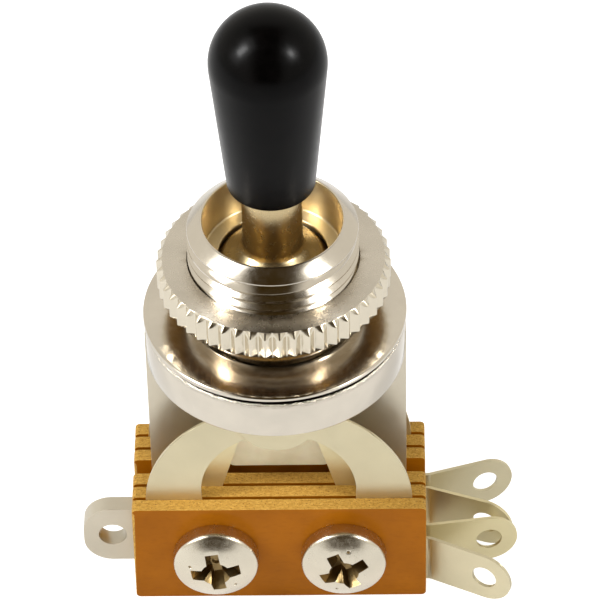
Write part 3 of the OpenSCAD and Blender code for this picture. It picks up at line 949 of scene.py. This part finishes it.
def clamp_screw(side, turn, nib_angles):
    """One screw: its domed head with the struck cross, and its threaded shank."""
    node = "screw_left" if side < 0 else "screw_right"
    rim_h = sqrt(HEAD_BALL_R ** 2 - CROWN_R ** 2) - (HEAD_BALL_R - HEAD_H)
    head = turned([(0, 0), (HEAD_R, 0, 0.12), (HEAD_R, rim_h - 0.12, 0.22), *head_section()],
                  turns=64, steps=4)
    recess = placed(cross_recess(turn), Matrix.Translation((0, 0, HEAD_H)))
    nibs = []
    for angle in nib_angles:
        at = Vector((cos(radians(angle)), sin(radians(angle)), 0)) * NIB_OUT
        nib = bmesh.new()
        bmesh.ops.create_icosphere(nib, subdivisions=2, radius=NIB_R,
                                   matrix=Matrix.Translation(at + Vector((0, 0, NIB_UP))))
        nibs.append(nib)
    head = combined(head, [recess, *nibs], "DIFFERENCE")
    # faces inside the cross recess get the darker brown colour: painted shade in the recess
    for face in head.faces:
        middle = face.calc_center_median()
        dome = sqrt(max(HEAD_BALL_R ** 2 - middle.xy.length_squared, 0)) - HEAD_BALL_R + HEAD_H
        struck = 0.3 < middle.z < dome - 0.06 and middle.xy.length < RECESS_HALF
        face.material_index = 1 if struck else 0
    # the head faces the front: +Z of the drawing becomes -Y
    head = placed(head, Matrix.Rotation(radians(90), 4, "X"),
                  Matrix.Translation((side * SCREW_X, stack_front, screw_z)))
    reach = screw_end - stack_front
    shank = turned([(0, -0.1), (SCREW_R - 0.16, -0.1), (SCREW_R - 0.16, reach, 0.35), (0, reach)],
                   turns=48)
    thread = thread_ridge(SCREW_R - 0.17, SCREW_R, 0.5, 8.2, reach - 0.45, sides=32)
    rear = placed(merged(shank, thread), TO_Y,
                  Matrix.Translation((side * SCREW_X, stack_front, screw_z)))
    finish_piece(node + "_headed", merged(head, rear),
                 [screw_finish.material, recess_shade_finish.material], "base",
                 "screw_steel", [node], bevel=0.05, steps=2)


clamp_screw(-1, 9, (165, -43))
clamp_screw(1, 27, (80, -106))

# %% [markdown]
# A plain hexagon nut closes each screw at the back. Its corners are turned off by a
# lens shape, which leaves the curved lines that every hexagon nut has.

# %% Hexagon nuts
HEX_AF = 5.5
for side in (-1, 1):
    node = "hex_nut_left" if side < 0 else "hex_nut_right"
    low, high = corners_mm(node)
    height = high.y - low.y
    corner_r = HEX_AF / 2 / cos(radians(30))
    prism = rod(corner_r, (0, 0, 0), (0, 0, height), sides=6)
    lens_in, lens_out = corner_r - 0.35, corner_r + 0.05
    lens = turned([(0, 0), (lens_in, 0), (lens_out, 0.3), (lens_out, height - 0.3),
                   (lens_in, height), (0, height)], turns=64)
    hexagon = combined(prism, [lens], "INTERSECT")
    hexagon = combined(hexagon, [rod(SCREW_R, (0, 0, -1), (0, 0, height + 1), sides=48)],
                       "DIFFERENCE")
    hexagon = placed(hexagon, TO_Y, Matrix.Translation((side * SCREW_X, low.y, screw_z)))
    finish_piece(node + "_chamfered", hexagon, [hex_finish.material], "base",
                 "hex_nut_steel", [node], bevel=0.06, steps=2, limit=25)

# %% [markdown]
# Three nodes are right as they are, and are mostly hidden: the cross pin and the two
# insulating sleeves on the screws. They only need their finish. The holes that the
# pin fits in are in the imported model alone: the dressed ball and bushing stay whole.

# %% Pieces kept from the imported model
for node, finish in (("pivot_pin", pin_finish), ("sleeve_left", sleeve_finish),
                     ("sleeve_right", sleeve_finish)):
    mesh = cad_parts[node].data
    mesh.materials.clear()
    mesh.materials.append(finish.material)

# %% [markdown]
# The switch stands on a white table. The table's material adds some light of its own,
# and more for the camera, so it shows white, and it still darkens softly where the
# switch stands.

# %% Table
TABLE_GLOW, CAMERA_GLOW = 0.42, 0.4


def table_finish():
    top = Finish("table_white", Roughness=0.6, Specular_IOR_Level=0.2)
    grain = top.noise(6.0)
    top.to("Base Color", top.blend(top.between(grain, 0.0, 1.0),
                                   (0.5, 0.5, 0.5, 1), (0.54, 0.54, 0.54, 1)))
    seen = top.node("ShaderNodeLightPath").outputs["Is Camera Ray"]
    strength = top.sums("ADD", top.sums("MULTIPLY", seen, CAMERA_GLOW), TABLE_GLOW)
    glow = top.node("ShaderNodeEmission", {"Color": (1, 1, 1, 1), "Strength": strength})
    both = top.node("ShaderNodeAddShader", {0: top.shader.outputs[0], 1: glow.outputs[0]})
    out = top.tree.nodes["Material Output"]
    top.tree.links.new(both.outputs[0], out.inputs["Surface"])
    return top.material


ground = bmesh.new()
bmesh.ops.create_grid(ground, x_segments=1, y_segments=1, size=3.0,
                      matrix=Matrix.Translation((0, 0, stack_bottom * MM)))
table_mesh = bpy.data.meshes.new("table")
ground.to_mesh(table_mesh)
ground.free()
table_mesh.materials.append(table_finish())
table = bpy.data.objects.new("table", table_mesh)
bpy.context.scene.collection.objects.link(table)
print("table at", round(stack_bottom, 2), "mm")

# %% [markdown]
# Bright metal shows the room more than itself. This room is a white studio with wide
# pale walls at the left and right, pale distance behind, and a warm dark gap from the
# front over the top, which the turned faces show as brown bands. Matt materials get
# an even light instead, with a brighter patch round the camera that reaches into the
# gaps, and the camera sees plain white. A softbox stands on each side, with a smaller
# and stronger lamp before its middle.

# %% Room
CEILING, WALL = (0.05, 0.03, 0.007, 1), (0.92, 0.88, 0.8, 1)
EVEN_LIGHT, FILL_LIGHT = (0.25, 0.245, 0.235, 1), (1.8, 1.72, 1.6, 1)
TO_CAMERA = (0, -0.731, 0.682)


def room():
    """The world: what gloss mirrors, what lights matt faces, what the camera sees."""
    world = bpy.data.worlds.new("studio")
    bpy.context.scene.world = world
    world.use_nodes = True
    wires = Wiring(world.node_tree)
    toward = wires.node("ShaderNodeTexCoord").outputs["Generated"]
    x, y, _ = wires.node("ShaderNodeSeparateXYZ", {0: toward}).outputs
    sides = wires.between(wires.sums("ABSOLUTE", x), 0.0, 1.0, 0.3, 0.62, "SMOOTHSTEP")
    behind = wires.between(y, 0.0, 1.0, 0.25, 0.6, "SMOOTHSTEP")
    pale = wires.sums("MAXIMUM", sides, behind)
    shown = wires.blend(pale, CEILING, WALL)
    rays = wires.node("ShaderNodeLightPath").outputs
    near = wires.node("ShaderNodeVectorMath", {0: toward, 1: TO_CAMERA},
                      operation="DOT_PRODUCT").outputs["Value"]
    fill = wires.blend(wires.between(near, 0.0, 1.0, 0.86, 0.96, "SMOOTHSTEP"),
                       EVEN_LIGHT, FILL_LIGHT)
    lit = wires.blend(rays["Is Diffuse Ray"], shown, fill)
    seen = wires.blend(rays["Is Camera Ray"], lit, (1, 1, 1, 1))
    wires.tree.links.new(seen, wires.tree.nodes["Background"].inputs["Color"])


room()


def softbox(name, direction, distance, width, height, power):
    """An area lamp that faces the switch from a direction."""
    lamp = bpy.data.lights.new(name, "AREA")
    lamp.shape, lamp.size, lamp.size_y, lamp.energy = "RECTANGLE", width, height, power
    lamp_object = bpy.data.objects.new(name, lamp)
    bpy.context.scene.collection.objects.link(lamp_object)
    toward = Vector(direction).normalized()
    lamp_object.location = toward * distance
    lamp_object.rotation_euler = toward.to_track_quat("Z", "Y").to_euler()


LEFT, RIGHT = (-0.70, -0.20, 0.68), (0.69, -0.30, 0.655)
softbox("softbox_left", LEFT, 0.40, 0.18, 0.36, 0.45)
softbox("softbox_right", RIGHT, 0.40, 0.14, 0.20, 0.24)
softbox("core_left", LEFT, 0.39, 0.065, 0.13, 1.0)
softbox("core_right", RIGHT, 0.39, 0.055, 0.08, 0.5)
print("lamps:", len(bpy.data.lights))

# %% [markdown]
# The camera looks down at a steep angle from the front with a long lens, and leans
# by about a degree and a third. Its aim is on the barrel's axis, a little above the
# flange's underside, and it is stepped to the right and upwards from there, so that
# the whole switch fills the picture.

# %% Camera
ELEVATION, AZIMUTH, LEAN = radians(43.197), radians(1.226), radians(-1.35)
DISTANCE, LENS, SENSOR = 0.320, 270.42, 36.0
AIM, STEP_RIGHT, STEP_UP = Vector((0, 0, -2.7 * MM)), 1.7224 * MM, 2.9659 * MM
back = Vector((sin(AZIMUTH) * cos(ELEVATION), -cos(AZIMUTH) * cos(ELEVATION), sin(ELEVATION)))
level = Vector((cos(AZIMUTH), sin(AZIMUTH), 0))
upward = level.cross(-back)
right = cos(LEAN) * level + sin(LEAN) * upward
up = -sin(LEAN) * level + cos(LEAN) * upward
place = AIM + right * STEP_RIGHT + up * STEP_UP + back * DISTANCE
camera_data = bpy.data.cameras.new("camera")
camera_data.sensor_width, camera_data.lens = SENSOR, LENS
camera_data.clip_start, camera_data.clip_end = 0.01, 20
camera = bpy.data.objects.new("camera", camera_data)
bpy.context.scene.collection.objects.link(camera)
camera.matrix_world = Matrix.Translation(place) @ Matrix((right, up, back)).transposed().to_4x4()
bpy.context.scene.camera = camera
bpy.context.scene.view_settings.view_transform = "Standard"
print("lens:", round(camera_data.lens), "mm")
